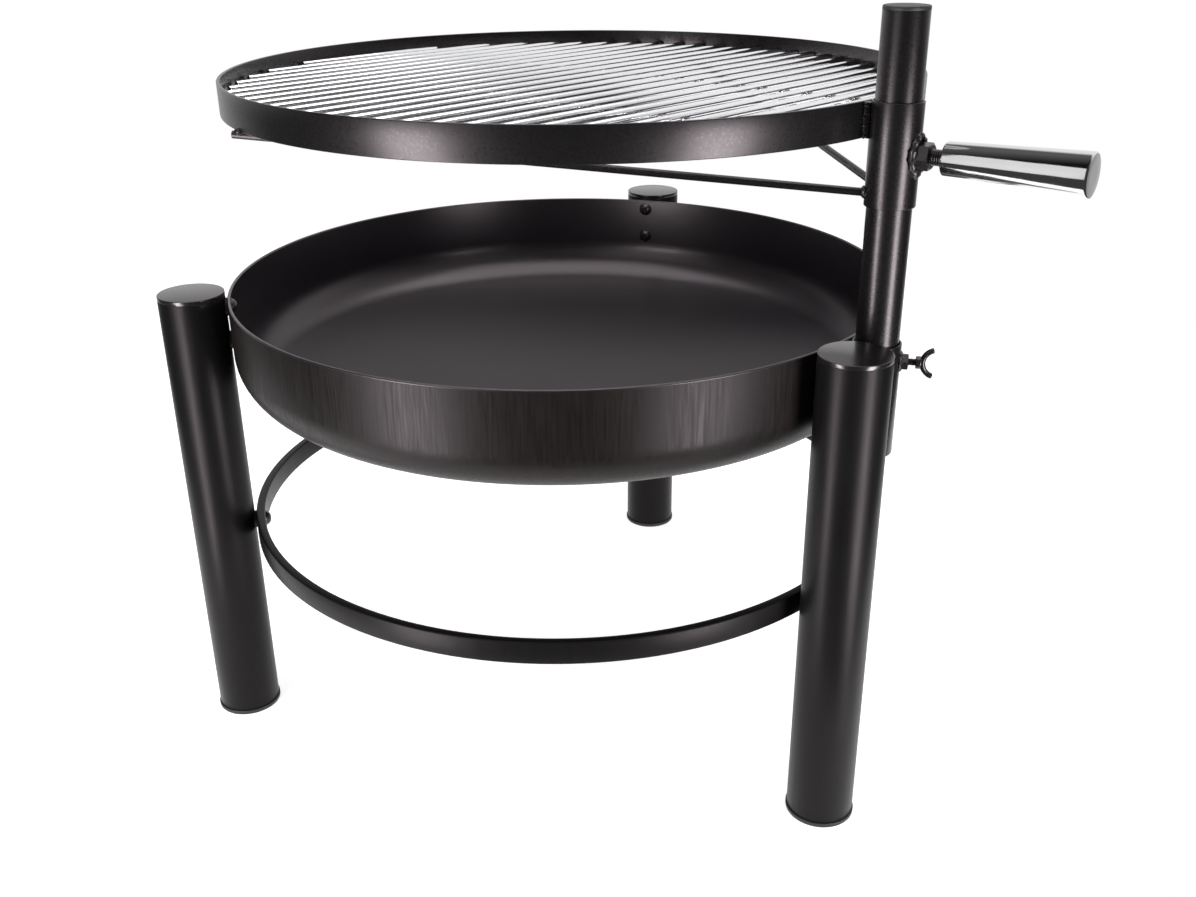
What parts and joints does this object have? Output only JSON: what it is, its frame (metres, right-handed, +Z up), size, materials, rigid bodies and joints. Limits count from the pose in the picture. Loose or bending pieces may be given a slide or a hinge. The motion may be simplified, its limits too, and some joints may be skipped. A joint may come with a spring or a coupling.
{
  "type": "fire pit",
  "caption": "Dished steel fire bowl on tubular legs with a base ring, and a round grate in a hoop that swings on a side post and is set in height by a screw clamp.",
  "frame": {"origin": "on the floor, at the middle of the whole object's width and depth", "axes": "+Z up; +X to the right of the picture, towards the post and the clamp grip; +Y away from the camera"},
  "size_m": [0.7184, 0.6484, 0.667],
  "materials": {
    "bowl_paint": "satin black",
    "frame_paint": "satin black",
    "spacer_paint": "matt black",
    "black_fasteners": "satin black",
    "zinc_steel": "zinc plated",
    "black_plastic": "matt",
    "chrome": "polished"
  },
  "bodies": {
    "base": {"bowl": "bowl_paint", "base_ring": "frame_paint", "leg_front": "frame_paint", "leg_plate_front": "frame_paint", "foot_front": "black_plastic", "leg_back": "frame_paint", "leg_plate_back": "frame_paint", "foot_back": "black_plastic", "leg_left": "frame_paint", "leg_plate_left": "frame_paint", "foot_left": "black_plastic", "bowl_bolts": "black_fasteners", "bowl_spacers": "spacer_paint", "bowl_inserts": "zinc_steel", "ring_bolts": "black_fasteners", "ring_spacers": "spacer_paint", "ring_inserts": "zinc_steel", "socket_tube": "frame_paint", "socket_floor": "frame_paint", "socket_nut": "black_fasteners", "socket_welds": "frame_paint"},
    "post": {"post_tube": "frame_paint", "post_cap": "black_plastic"},
    "grill": {"sleeve": "frame_paint", "grill_hoop": "frame_paint", "hoop_welds": "frame_paint", "support_rod_left": "frame_paint", "support_rod_right": "frame_paint", "grate_ledges": "frame_paint", "clamp_nut": "black_fasteners"},
    "grate": {"grate_bars": "chrome", "grate_cross_bar_left": "chrome", "grate_cross_bar_right": "chrome"},
    "clamp_stud": {"clamp_stud": "black_fasteners"},
    "clamp_grip": {"clamp_grip": "chrome"},
    "wing_stud": {"wing_stud": "black_fasteners"},
    "wing_handle": {"wing_handle": "black_fasteners"}
  },
  "joints": [
    {"name": "grill_swing", "type": "hinge", "parent": "base", "child": "post", "pos_m": [0.23807, -0.22528, 0.38], "axis": [0, 0, 1], "continuous": true},
    {"name": "grill_height", "type": "slide", "parent": "post", "child": "grill", "axis": [0, 0, 1], "range_m": [-0.1, 0.06]},
    {"name": "grate_lift", "type": "slide", "parent": "grill", "child": "grate", "axis": [0, 0, 1], "range_m": [0, 0.06]},
    {"name": "clamp_advance", "type": "slide", "parent": "grill", "child": "clamp_stud", "axis": [0.7894, -0.6139, 0], "range_m": [0, 0.00526]},
    {"name": "clamp_turn", "type": "hinge", "parent": "clamp_stud", "child": "clamp_grip", "pos_m": [0.23807, -0.22528, 0.565], "axis": [0.7894, -0.6139, 0], "range_deg": [0, 1080]},
    {"name": "wing_advance", "type": "slide", "parent": "base", "child": "wing_stud", "axis": [0.9659, -0.2588, 0], "range_m": [0, 0.00301]},
    {"name": "wing_turn", "type": "hinge", "parent": "wing_stud", "child": "wing_handle", "pos_m": [0.23807, -0.22528, 0.405], "axis": [0.9659, -0.2588, 0], "range_deg": [0, 1080]}
  ],
  "couplings": [
    {"joint": "clamp_advance", "follows": "clamp_turn", "m_per_rad": 0.00027852},
    {"joint": "wing_advance", "follows": "wing_turn", "m_per_rad": 0.00015915}
  ]
}
